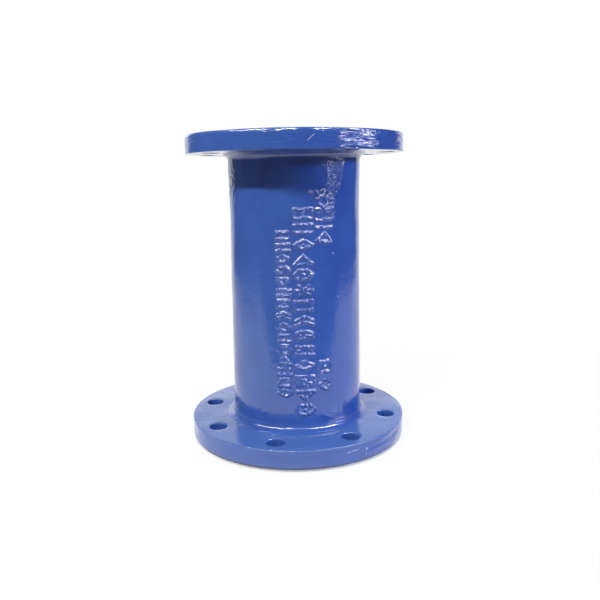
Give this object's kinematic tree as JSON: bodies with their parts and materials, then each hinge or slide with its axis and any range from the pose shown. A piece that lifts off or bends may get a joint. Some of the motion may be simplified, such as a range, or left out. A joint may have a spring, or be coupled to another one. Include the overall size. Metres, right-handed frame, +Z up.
{
  "type": "flanged pipe spool",
  "caption": "Straight cast-iron pipe piece with a drilled, raised-face flange at each end, coated in glossy blue epoxy.",
  "frame": {"origin": "centre of the lower mating face, on the bore axis", "axes": "+Z up along the bore axis; the bolt holes of both flanges straddle the X and Y axes"},
  "size_m": [0.285, 0.285, 0.4],
  "materials": {
    "epoxy_coated_iron": "rough casting under a thick, glossy blue epoxy coat with orange peel"
  },
  "bodies": {
    "root": {"spool_casting": "epoxy_coated_iron"}
  },
  "joints": []
}
